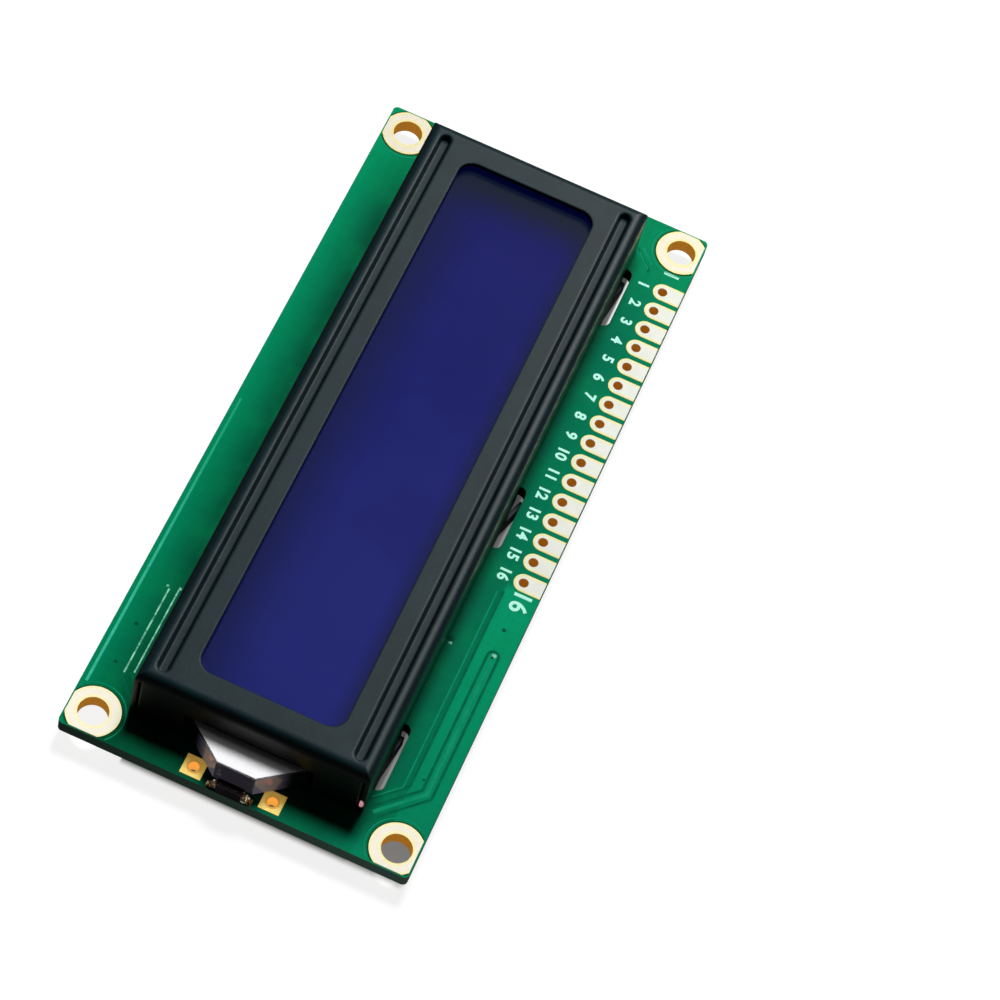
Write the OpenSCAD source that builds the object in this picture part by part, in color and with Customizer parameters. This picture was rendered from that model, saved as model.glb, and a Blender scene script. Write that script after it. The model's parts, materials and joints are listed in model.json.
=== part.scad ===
// Character LCD module, 16 characters by 2 lines, with an edge-lit backlight.
// Millimetres. The origin is the centre of the mounting-hole pattern on the board's
// front face. +X runs along the board towards the backlight LED, +Y towards the row
// of header holes, and +Z out of the screen.

/* [Board] */
// Length of the circuit board
board_l = 80; // [72:0.2:90]
// Width of the circuit board
board_w = 35.7; // [32:0.1:46]
// Thickness of the circuit board
board_t = 1.6; // [0.8:0.1:2.4]
// Radius of the board's corners
board_corner_r = 0.5; // [0.2:0.1:2]
// Distance from the board's ends to the mounting holes, on average over both ends
mount_inset_x = 2.5; // [2.3:0.05:3]
// Distance from the board's long edges to the mounting holes, on average over both edges
mount_inset_y = 2.35; // [2.2:0.05:2.6]
// How far the board's middle lies behind the hole pattern's middle, along X
board_offset_x = 0.12; // [0:0.01:0.2]
// How far the board's middle lies below the hole pattern's middle, along Y
board_offset_y = 0.22; // [0:0.01:0.3]
// Finished diameter of a mounting hole
mount_hole_d = 3.0; // [2.5:0.1:3.2]
// Outer diameter of the plated ring round a mounting hole
mount_ring_d = 5.3; // [4.6:0.1:5.4]
// Thickness of the plated copper, on the faces and in the holes
foil_t = 0.05; // [0.03:0.01:0.1]
// Gap between a plated pad and the board's edge
pad_edge_gap = 0.15; // [0.05:0.05:0.3]

/* [Header] */
// Number of header holes
pin_count = 16; // [14:1:16]
// Distance between neighbouring header holes
pin_pitch = 2.54; // [2.5:0.01:2.56]
// Distance from the nearest mounting hole to header hole 1, along X
pin_1_offset = 5.5; // [4.5:0.1:8]
// Finished diameter of a header hole
pin_hole_d = 1.0; // [0.8:0.05:1.1]
// Width of a header pad
pin_pad_w = 2.0; // [1.6:0.05:2.2]

/* [Bezel] */
// Distance along X from the mounting holes to the bezel's end walls
bezel_end_gap = 1.85; // [1.5:0.05:2.5]
// Distance along Y from the header holes to the bezel's wall
bezel_header_gap = 4.35; // [4.1:0.05:5]
// Distance along Y from the lower mounting holes to the bezel's wall
bezel_low_gap = 2.85; // [2.6:0.05:3.5]
// Thickness of the bezel's steel sheet
sheet_t = 0.5; // [0.3:0.05:0.8]
// Outer radius of the bezel's bends
bend_r = 1.1; // [0.9:0.05:1.4]
// Width of the bezel's frame at each end of the window
frame_end_w = 3.25; // [2.9:0.05:5]
// Width of the flat frame between the window and a groove
frame_side_w = 1.775; // [1.5:0.025:3]
// Radius of the window's corners
window_r = 1.6; // [0.5:0.1:3]
// Width of a pressed groove at the sheet's face
groove_w = 1.65; // [1.5:0.05:1.7]
// Width of a groove's flat floor
groove_floor_w = 0.6; // [0.4:0.05:0.7]
// Depth of a pressed groove
groove_depth = 0.75; // [0.5:0.05:1]
// Flat stretch between a side bend and the groove beside it
groove_margin = 0.025; // [0.01:0.005:0.2]
// Flat stretch between an end bend and a groove's end
groove_end_margin = 0.1; // [0.05:0.05:2]
// Width of the slit between a side wall and an end wall
corner_slit_w = 0.25; // [0.15:0.05:0.4]
// Gap under the end walls
end_wall_gap = 0.15; // [0.1:0.05:0.4]

/* [Fixing tabs] */
// Distance from the bezel's ends to the middle of the outer tabs
tab_inset = 6.55; // [5.5:0.05:8]
// Width of a tab
tab_w = 6.6; // [4:0.1:6.7]
// Length of a tab below the board's back
tab_drop = 1.7; // [1.6:0.05:2.2]
// Angle by which the middle tabs are twisted behind the board
middle_tab_twist = 17; // [5:1:25]
// Angle by which the outer tabs are twisted behind the board
outer_tab_twist = 7; // [3:1:25]
// Length of a slot in the board
slot_l = 7.6; // [7.2:0.1:8]
// Width of a slot in the board
slot_w = 1.4; // [1.3:0.05:1.5]
// Gap between a slot's inner edge and the tab in it
slot_inner_gap = 0.1; // [0.05:0.05:0.15]

/* [Glass] */
// Thickness of each sheet of glass
glass_t = 1.1; // [0.7:0.05:1.3]
// Gap between the glass and the bezel's walls
glass_gap = 0.3; // [0.2:0.05:0.5]
// How far the upper glass stands out past the lower one on the contact sides
ledge_w = 1.8; // [1.7:0.05:2]
// Thickness of each polariser
polariser_t = 0.2; // [0.1:0.05:0.25]
// How far each polariser reaches past the window
polariser_lap = 1.1; // [0.6:0.1:1.2]

/* [Contact strips] */
// Distance from the glass's ends to the contact strips' ends
strip_inset = 3.35; // [2:0.05:8]
// Width of a contact strip
strip_w = 1.4; // [1:0.1:1.4]

/* [Backlight] */
// Thickness of the light guide
guide_t = 3.0; // [2:0.1:3.6]
// Gap between the light guide and a contact strip
guide_side_gap = 0.7; // [0.4:0.05:1.5]
// Width of the light guide's tip
guide_tip_w = 4.0; // [3:0.1:4.4]
// Angle between the guide's axis and its tapered sides
guide_taper = 52; // [46:1:56]
// Thickness of the white reflector sheet under the light guide
reflector_t = 0.15; // [0.1:0.05:0.3]
// Thickness of the diffuser sheet over the light guide
diffuser_t = 0.2; // [0.1:0.05:0.4]
// Thickness of the white film on the guide's open end
film_t = 0.08; // [0.05:0.01:0.12]
// How far the white film stays back from the guide's edges
film_inset = 0.15; // [0.05:0.05:0.4]
// Clearance between the guide's open end and the bezel's cut-out
guide_gap = 0.2; // [0.1:0.05:0.4]

/* [LED] */
// Length of the LED's body across the board
led_w = 2.6; // [2:0.1:3]
// Depth of the LED's body
led_d = 0.9; // [0.6:0.05:0.9]
// Height of the LED's body
led_h = 1.2; // [1:0.05:1.6]
// Gap between the LED and the board's edge
led_edge_gap = 0.03; // [0:0.01:0.2]
// Gap between the light guide's tip and the LED
led_gap = 0.35; // [0.2:0.05:0.5]
// Length of each metal terminal at the LED's ends
terminal_w = 0.45; // [0.3:0.05:0.5]
// Reach of each solder fillet beyond its terminal
solder_w = 0.6; // [0.4:0.05:0.7]
// Side of each square backlight wire pad
wire_pad_w = 2.1; // [1.8:0.1:2.2]
// Distance between the two backlight wire pads
wire_pad_pitch = 8.0; // [7.6:0.1:8.4]
// Distance from the board's edge to the middle of the backlight wire pads
wire_pad_inset = 1.48; // [1.3:0.02:2]
// Finished diameter of a backlight wire hole
wire_hole_d = 1.0; // [0.8:0.05:1.2]

/* [Parts on the back] */
// Diameter of the epoxy cap over the controller chip
controller_cap_d = 15.5; // [12:0.5:17]
// Height of the epoxy cap over the controller chip
controller_cap_h = 1.4; // [1:0.05:1.5]
// Diameter of the epoxy cap over the segment driver chip
driver_cap_d = 13.5; // [11:0.5:15]
// Height of the epoxy cap over the segment driver chip
driver_cap_h = 1.3; // [1:0.05:1.5]
// Distance from the bezel's ends to the middle of each epoxy cap
cap_inset = 19.65; // [18:0.05:20.5]
// Length of a chip resistor
chip_l = 2.0; // [1.6:0.1:2.2]
// Width of a chip resistor
chip_w = 1.25; // [0.8:0.05:1.3]
// Height of a chip resistor
chip_h = 0.5; // [0.4:0.05:0.6]
// Height of the chip capacitor
capacitor_h = 0.85; // [0.5:0.05:1.2]

/* [Hidden] */
$fn = 48;
eps = 0.1;

led_names = ["led_body", "led_phosphor", "led_terminal_1", "led_terminal_2", "led_solder_1", "led_solder_2"];
glass_names = ["front_polariser", "upper_glass", "lower_glass", "rear_polariser"];
backlight_names = ["diffuser_sheet", "light_guide", "reflector_sheet", "guide_film"];
resistor_count = 8;
resistor_pitch = 2.6;
resistor_row_shift = 6;
capacitor_gap = 5;

// Board
hole_pitch_x = board_l - 2 * mount_inset_x;
hole_pitch_y = board_w - 2 * mount_inset_y;
board_x0 = -board_l / 2 - board_offset_x;
board_x1 = board_l / 2 - board_offset_x;
board_y0 = -board_w / 2 - board_offset_y;
board_y1 = board_w / 2 - board_offset_y;
pin_y = hole_pitch_y / 2;
pin_1_x = pin_1_offset - hole_pitch_x / 2;
back_z = -board_t;

// Heights of the display stack above the board's front face
guide_z = reflector_t;
guide_top = guide_z + guide_t;
rear_polariser_z = guide_top + diffuser_t;
lower_glass_z = rear_polariser_z + polariser_t;
upper_glass_z = lower_glass_z + glass_t;
glass_top = upper_glass_z + glass_t;
bezel_top = glass_top + groove_depth + sheet_t;

// Bezel
bezel_l = hole_pitch_x - 2 * bezel_end_gap;
bezel_w = hole_pitch_y - bezel_header_gap - bezel_low_gap;
bezel_cy = (bezel_low_gap - bezel_header_gap) / 2;
side_out = bezel_w / 2;
side_in = side_out - sheet_t;
end_out = bezel_l / 2;
end_in = end_out - sheet_t;
inner_bend_r = bend_r - sheet_t;
groove_offset = side_out - bend_r - groove_margin - groove_w / 2;
groove_end = end_out - bend_r - groove_end_margin - groove_w / 2;
groove_rim_r = 0.3;
groove_foot_r = 0.12;
groove_wall_t = 0.32;
window_l = bezel_l - 2 * frame_end_w;
window_w = 2 * (groove_offset - groove_w / 2 - frame_side_w);
tab_pitch = end_out - tab_inset;
tab_xs = [-tab_pitch, 0, tab_pitch];
slot_in = side_in - slot_inner_gap;
tab_clearance = 0.05;

// Glass
glass_l = 2 * (end_in - glass_gap);
upper_glass_w = 2 * (side_in - glass_gap);
lower_glass_w = upper_glass_w - 2 * ledge_w;
strip_offset = (upper_glass_w - ledge_w) / 2;
strip_l = glass_l - 2 * strip_inset;

// LED and light guide: the LED stands at the board's edge, and the guide's tip faces it
guide_w = 2 * (strip_offset - strip_w / 2 - guide_side_gap);
led_x0 = board_x1 - led_edge_gap - led_d;
led_pocket_d = led_d / 3;
led_rim = 0.3;
guide_tip_x = led_x0 - led_gap;
guide_x0 = -glass_l / 2 + 1;
cutout_w = 2 * (guide_half_w(end_in, 0) + guide_gap);
cutout_top = guide_top + film_t + guide_gap;
wire_pad_x = board_x1 - wire_pad_inset;
cap_x = end_out - cap_inset;
resistor_row_y = bezel_cy + slot_in - 2;

// A rectangle with round corners
module rounded_rect(l, w, r) {
    union() {
        square([l, w - 2 * r], center = true);
        square([l - 2 * r, w], center = true);
        for (sx = [-1, 1], sy = [-1, 1])
            translate([sx * (l / 2 - r), sy * (w / 2 - r)])
                circle(r = r);
    }
}

// A long shape with round ends that lies along X
module stadium(l, r) {
    union() {
        square([l, 2 * r], center = true);
        for (s = [-1, 1])
            translate([s * l / 2, 0])
                circle(r = r);
    }
}

module tab_slots() {
    for (x = tab_xs, s = [-1, 1])
        translate([x, bezel_cy + s * (slot_in + slot_w / 2)])
            stadium(slot_l - slot_w, slot_w / 2);
}

// Half the light guide's width at x, drawn in by d
function guide_half_w(x, d) = min(
    guide_w / 2 - d,
    guide_tip_w / 2 + tan(guide_taper) * (guide_tip_x - x) - d / cos(guide_taper)
);

function pin_x(i) = pin_1_x + (i - 1) * pin_pitch;
function mount_pos(i) = [(i % 2 == 1 ? -1 : 1) * hole_pitch_x / 2, (i > 2 ? -1 : 1) * hole_pitch_y / 2];
function wire_pad_pos(i) = [wire_pad_x, bezel_cy + (i == 1 ? 1 : -1) * wire_pad_pitch / 2];

module circuit_board() {
    color("#00704a")
    translate([0, 0, back_z])
    linear_extrude(board_t)
    difference() {
        translate([-board_offset_x, -board_offset_y])
            rounded_rect(board_l, board_w, board_corner_r);
        for (i = [1:4])
            translate(mount_pos(i))
                circle(d = mount_hole_d + 2 * foil_t);
        for (i = [1:pin_count])
            translate([pin_x(i), pin_y])
                circle(d = pin_hole_d + 2 * foil_t);
        for (i = [1:2])
            translate(wire_pad_pos(i))
                circle(d = wire_hole_d + 2 * foil_t);
        tab_slots();
    }
}

// A plated hole: the pad outline (child 0) on both faces, joined by the plating in the hole
module plated_hole(pos, hole_d) {
    color("#f3e27a")
    difference() {
        union() {
            for (z = [back_z - foil_t, 0])
                translate([0, 0, z])
                    linear_extrude(foil_t)
                        children(0);
            translate([pos[0], pos[1], back_z - foil_t])
                cylinder(d = hole_d + 2 * foil_t, h = board_t + 2 * foil_t);
        }
        translate([pos[0], pos[1], back_z - 1])
            cylinder(d = hole_d, h = board_t + 2);
    }
}

// The part of the board on which pads may lie
module pad_area() {
    translate([board_x0 + pad_edge_gap, board_y0 + pad_edge_gap])
        square([board_l - 2 * pad_edge_gap, board_w - 2 * pad_edge_gap]);
}

module mount_ring(i) {
    plated_hole(mount_pos(i), mount_hole_d)
        intersection() {
            translate(mount_pos(i))
                circle(d = mount_ring_d);
            pad_area();
        }
}

// A tongue-shaped pad that runs from its hole to the board's edge
module pin_pad(i) {
    plated_hole([pin_x(i), pin_y], pin_hole_d)
        union() {
            translate([pin_x(i), pin_y])
                circle(d = pin_pad_w);
            translate([pin_x(i) - pin_pad_w / 2, pin_y])
                square([pin_pad_w, board_y1 - pad_edge_gap / 3 - pin_y]);
        }
}

module wire_pad(i) {
    plated_hole(wire_pad_pos(i), wire_hole_d)
        translate(wire_pad_pos(i))
            square(wire_pad_w, center = true);
}

// Outline of a folded cover seen from one end: round upper corners, open below
module cover_profile(w, h, r) {
    union() {
        translate([-w / 2, -eps])
            square([w, h - r + eps]);
        translate([-w / 2 + r, -eps])
            square([w - 2 * r, h + eps]);
        for (s = [-1, 1])
            translate([s * (w / 2 - r), h - r])
                circle(r = r);
    }
}

// A block with all four upper edges bent to radius r
module bent_block(l, w, h, r) {
    intersection() {
        rotate([90, 0, 90])
            translate([0, 0, -l])
                linear_extrude(2 * l)
                    cover_profile(w, h, r);
        rotate([90, 0, 0])
            translate([0, 0, -w])
                linear_extrude(2 * w)
                    cover_profile(l, h, r);
    }
}

function arc_point(c, r, a) = [c[0] + r * cos(a), c[1] + r * sin(a)];

// Half section of a groove's hollow: flat floor, round foot, wall and round rim
module groove_hollow_profile() {
    foot = [groove_floor_w / 2, groove_foot_r - groove_depth];
    rim = [groove_w / 2, -groove_rim_r];
    steps = 4;
    polygon(concat(
        [[0, 1], [0, -groove_depth]],
        [for (k = [0:steps - 1]) arc_point(foot, groove_foot_r, -90 + 60 * k / steps)],
        [for (k = [0:steps]) arc_point(rim, groove_rim_r, 160 - 70 * k / steps)],
        [[groove_w / 2, 1]]
    ));
}

// Half section of the ridge that a groove makes on the sheet's inner side
module groove_ridge_profile() {
    low = -groove_depth - sheet_t;
    polygon([
        [0, -sheet_t / 2],
        [0, low],
        [groove_floor_w / 2 + groove_wall_t - 0.1, low],
        [groove_floor_w / 2 + groove_wall_t, low + 0.1],
        [groove_w / 2, -sheet_t],
        [groove_w / 2, -sheet_t / 2]
    ]);
}

// Sweeps a half section (child 0) along a groove and round both of its ends
module along_groove() {
    union() {
        for (m = [0, 1])
            mirror([0, m, 0])
                rotate([90, 0, 90])
                    translate([0, 0, -groove_end])
                        linear_extrude(2 * groove_end)
                            children(0);
        for (s = [-1, 1])
            translate([s * groove_end, 0, 0])
                rotate_extrude()
                    children(0);
    }
}

// One tab: a straight neck through the slot and a twisted end behind the board
module tab(s, twist) {
    neck = board_t + 2 * tab_clearance;
    translate([-tab_w / 2, s > 0 ? side_in : -side_out, -neck])
        cube([tab_w, sheet_t, neck + eps]);
    translate([0, s * (side_in + sheet_t / 2), back_z - tab_drop])
        rotate([0, 0, s * -twist])
            translate([-tab_w / 2, -sheet_t / 2, 0])
                cube([tab_w, sheet_t, tab_drop - tab_clearance]);
}

module bezel() {
    color("#30363a")
    translate([0, bezel_cy, 0])
    difference() {
        union() {
            difference() {
                bent_block(bezel_l, bezel_w, bezel_top, bend_r);
                translate([0, 0, -eps])
                    bent_block(2 * end_in, 2 * side_in, bezel_top - sheet_t + eps, inner_bend_r);
                translate([-bezel_l, -bezel_w, -10])
                    cube([2 * bezel_l, 2 * bezel_w, 10]);
                for (s = [-1, 1])
                    translate([s * end_out - 1, -side_in, -1])
                        cube([2, 2 * side_in, 1 + end_wall_gap]);
            }
            for (s = [-1, 1])
                translate([0, s * groove_offset, bezel_top])
                    along_groove()
                        groove_ridge_profile();
            for (x = tab_xs, s = [-1, 1])
                translate([x, 0, 0])
                    tab(s, x == 0 ? middle_tab_twist : outer_tab_twist);
        }
        for (s = [-1, 1])
            translate([0, s * groove_offset, bezel_top])
                along_groove()
                    groove_hollow_profile();
        translate([0, 0, bezel_top - 2 * sheet_t])
            linear_extrude(4 * sheet_t)
                rounded_rect(window_l, window_w, window_r);
        for (sx = [-1, 1], sy = [-1, 1])
            translate([sx * end_out - 1, sy * (side_in - corner_slit_w / 2) - corner_slit_w / 2, -1])
                cube([2, corner_slit_w, bezel_top - bend_r + 1]);
        translate([end_in - 1, -cutout_w / 2, -1])
            cube([3, cutout_w, cutout_top + 1]);
    }
}

// A flat sheet centred under the window
module sheet(l, w, z, t) {
    translate([-l / 2, bezel_cy - w / 2, z])
        cube([l, w, t]);
}

module front_polariser() {
    color("#20206e")
        sheet(window_l + 2 * polariser_lap, window_w + 2 * polariser_lap, glass_top, polariser_t);
}

module upper_glass() {
    color("#2a2f78")
        sheet(glass_l, upper_glass_w, upper_glass_z, glass_t);
}

module lower_glass() {
    color("#262a66")
        sheet(glass_l, lower_glass_w, lower_glass_z, glass_t);
}

module rear_polariser() {
    color("#5a5f8c")
        sheet(window_l + 2 * polariser_lap, window_w + 2 * polariser_lap, rear_polariser_z, polariser_t);
}

module contact_strip(s) {
    color("#2b2b2b")
        translate([-strip_l / 2, bezel_cy + s * strip_offset - strip_w / 2, 0])
            cube([strip_l, strip_w, upper_glass_z]);
}

// Outline of the light guide from x0 to x1, drawn in by d
module guide_outline(x0, x1, d) {
    taper_x = guide_tip_x - (guide_w - guide_tip_w) / 2 / tan(guide_taper);
    shoulder_x = max(x0, taper_x - d / sin(guide_taper));
    stations = [x0, shoulder_x, x1];
    polygon(concat(
        [for (x = stations) [x, -guide_half_w(x, d)]],
        [for (k = [2:-1:0]) [stations[k], guide_half_w(stations[k], d)]]
    ));
}

module diffuser_sheet() {
    color("#e8ecf2")
        sheet(window_l + 2 * polariser_lap, guide_w, guide_top, diffuser_t);
}

module light_guide() {
    color("#c9ccd2")
        translate([0, bezel_cy, guide_z])
            linear_extrude(guide_t)
                guide_outline(guide_x0, guide_tip_x, 0);
}

module reflector_sheet() {
    color("#f6f6f4")
        translate([0, bezel_cy, 0])
            linear_extrude(reflector_t)
                guide_outline(guide_x0, end_in - guide_gap, 0);
}

// White film on the guide's open end, a little smaller than the guide
module guide_film() {
    color("#ffffff")
        translate([0, bezel_cy, guide_top])
            linear_extrude(film_t)
                guide_outline(end_in, guide_tip_x - film_inset, film_inset);
}

module led_body() {
    color("#2b1418")
    difference() {
        translate([led_x0, bezel_cy - led_w / 2, 0])
            cube([led_d, led_w, led_h]);
        translate([led_x0 - 1, bezel_cy - led_w / 2 + led_rim, led_h / 6])
            cube([1 + led_pocket_d, led_w - 2 * led_rim, led_h * 2 / 3]);
    }
}

// Phosphor that fills the LED's pocket up to a little short of its rim
module led_phosphor() {
    recess = 0.05;
    color("#e8d060")
        translate([led_x0 + recess, bezel_cy - led_w / 2 + led_rim, led_h / 6])
            cube([led_pocket_d - recess, led_w - 2 * led_rim, led_h * 2 / 3]);
}

module led_terminal(s) {
    color("#c9b27a")
        translate([led_x0 + led_d * 0.15, bezel_cy + s * (led_w + terminal_w) / 2 - terminal_w / 2, 0])
            cube([led_d * 0.7, terminal_w, led_h * 0.7]);
}

// A hollow solder fillet between a terminal and the board
module led_solder(s) {
    rise = led_h * 0.55;
    steps = 6;
    color("#d8d8d4")
    translate([led_x0 + led_d * 0.1, bezel_cy + s * (led_w / 2 + terminal_w), 0])
        mirror([0, s > 0 ? 0 : 1, 0])
            rotate([90, 0, 90])
                linear_extrude(led_d * 0.8)
                    polygon(concat(
                        [[0, 0], [0, rise]],
                        [for (k = [1:steps]) let (a = 90 * k / steps)
                            [solder_w * (1 - cos(a)), rise * (1 - sin(a))]]
                    ));
}

// An epoxy cap: a flat dome that hangs from the board's back
module epoxy_cap(x, y, d, h) {
    r = (d * d / 4 + h * h) / (2 * h);
    half_angle = asin(d / 2 / r);
    steps = 10;
    color("#15161a")
    translate([x, y, back_z])
        rotate_extrude($fn = 64)
            polygon(concat(
                [[0, 0]],
                [for (k = [steps:-1:1]) let (a = half_angle * k / steps) [r * sin(a), r - h - r * cos(a)]],
                [[0, -h]]
            ));
}

module controller_cap() {
    epoxy_cap(-cap_x, bezel_cy, controller_cap_d, controller_cap_h);
}

module driver_cap() {
    epoxy_cap(cap_x, bezel_cy, driver_cap_d, driver_cap_h);
}

// A chip part on the board's back: a ceramic body with a thin metal cap over each end
module chip_part(pos, h, turned) {
    cap = 0.35;
    lift = 0.03;
    translate([pos[0], pos[1], back_z - h])
        rotate([0, 0, turned ? 90 : 0])
            union() {
                translate([-chip_l / 2 + cap / 2, -chip_w / 2 + lift, lift])
                    cube([chip_l - cap, chip_w - 2 * lift, h - lift]);
                for (s = [-1, 1])
                    translate([s * (chip_l - cap) / 2 - cap / 2, -chip_w / 2, 0])
                        cube([cap, chip_w, h]);
            }
}

// Resistors 1 to 5 stand in a column between the caps; 6 to 8 lie in a row near the header
function resistor_pos(i) = i <= 5 ?
    [0, bezel_cy + (i - 3) * resistor_pitch] :
    [(i - 7) * cap_x - resistor_row_shift, resistor_row_y];

module chip_resistor(i) {
    color("#26262a")
        chip_part(resistor_pos(i), chip_h, false);
}

module chip_capacitor() {
    color("#b98f5c")
        chip_part([-cap_x - controller_cap_d / 2 - capacitor_gap, bezel_cy], capacitor_h, true);
}

circuit_board();
for (i = [1:4]) mount_ring(i);
for (i = [1:pin_count]) pin_pad(i);
for (i = [1:2]) wire_pad(i);
bezel();
front_polariser();
upper_glass();
lower_glass();
rear_polariser();
contact_strip(1);  // contact_strip_1
contact_strip(-1);  // contact_strip_2
diffuser_sheet();
light_guide();
reflector_sheet();
guide_film();
led_body();
led_phosphor();
led_terminal(1);  // led_terminal_1
led_terminal(-1);  // led_terminal_2
led_solder(1);  // led_solder_1
led_solder(-1);  // led_solder_2
controller_cap();
driver_cap();
for (i = [1:resistor_count]) chip_resistor(i);
chip_capacitor();
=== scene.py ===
"""Character LCD module: materials, printed and etched detail, light and camera."""

import json
import math

import bmesh
import bpy
from mathutils import Matrix, Vector


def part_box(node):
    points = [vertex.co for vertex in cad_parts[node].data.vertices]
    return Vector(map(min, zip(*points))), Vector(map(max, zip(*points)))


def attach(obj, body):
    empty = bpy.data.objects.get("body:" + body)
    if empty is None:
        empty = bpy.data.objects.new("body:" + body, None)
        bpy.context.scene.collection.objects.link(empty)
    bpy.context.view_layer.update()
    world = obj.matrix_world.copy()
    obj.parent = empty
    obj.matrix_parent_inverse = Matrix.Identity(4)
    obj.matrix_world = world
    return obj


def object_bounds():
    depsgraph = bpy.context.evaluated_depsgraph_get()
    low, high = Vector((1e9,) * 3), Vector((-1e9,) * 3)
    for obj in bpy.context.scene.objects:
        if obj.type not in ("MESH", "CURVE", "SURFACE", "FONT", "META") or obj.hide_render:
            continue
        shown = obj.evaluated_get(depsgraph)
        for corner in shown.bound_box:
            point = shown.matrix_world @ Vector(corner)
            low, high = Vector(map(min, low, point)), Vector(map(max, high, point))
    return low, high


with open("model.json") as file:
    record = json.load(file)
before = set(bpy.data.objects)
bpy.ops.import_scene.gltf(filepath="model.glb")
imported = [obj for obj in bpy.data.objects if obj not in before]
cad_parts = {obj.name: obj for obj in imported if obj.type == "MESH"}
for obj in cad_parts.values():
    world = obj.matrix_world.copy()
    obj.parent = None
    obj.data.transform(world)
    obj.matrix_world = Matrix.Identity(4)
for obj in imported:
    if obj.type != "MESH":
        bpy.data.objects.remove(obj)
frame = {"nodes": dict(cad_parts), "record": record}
CAD_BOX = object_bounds()
NODES = frame["nodes"]
MM = 0.001

BOARD_LO, BOARD_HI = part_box("circuit_board")
FRONT_Z = BOARD_HI.z
BACK_Z = BOARD_LO.z
BEZEL_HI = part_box("bezel")[1]
FLOOR_Z = CAD_BOX[0].z

bezel_points = [NODES["bezel"].matrix_world @ v.co for v in NODES["bezel"].data.vertices]
WALL_YS = [p.y / MM for p in bezel_points if p.z > BEZEL_HI.z / 2]
BEZEL_MID_Y = (min(WALL_YS) + max(WALL_YS)) / 2
BEZEL_HALF_W = (max(WALL_YS) - min(WALL_YS)) / 2
BEZEL_END_X = BEZEL_HI.x / MM

MOUNTS = {mount["name"]: mount for mount in frame["record"]["mounts"]}
HOLE_X = MOUNTS["mounting_holes"]["dims"]["spacing_x_mm"] * MM / 2
HOLE_Y = MOUNTS["mounting_holes"]["dims"]["spacing_y_mm"] * MM / 2
RING_R = max(HOLE_X - abs(corner.x) for i in range(1, 5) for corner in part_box(f"mount_ring_{i}"))

PIN_COUNT = MOUNTS["header_holes"]["dims"]["count"]
PADS = [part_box(f"pin_pad_{i}") for i in range(1, PIN_COUNT + 1)]
PAD_XS = [(lo.x + hi.x) / 2 for lo, hi in PADS]
PAD_PITCH = PAD_XS[1] - PAD_XS[0]
PAD_R = (PADS[0][1].x - PADS[0][0].x) / 2
PAD_HOLE_Y = PADS[0][0].y + PAD_R


# Emission strengths. These spots give light of their own, so they look a little lit in the dark.
BOARD_EDGE_GLOW = 0.03
GOLD_GLOW = 0.42
WIRE_PAD_GLOW = 0.6
CORNER_GLINT_GLOW = 0.6
DISPLAY_GLOW = 0.02
FILM_GLOW = 0.12
GUIDE_GLOW = 0.062
SOLDER_GLOW = 0.55
FLOOR_GLOW = 0.86


# ---------------------------------------------------------------- node helpers

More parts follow.
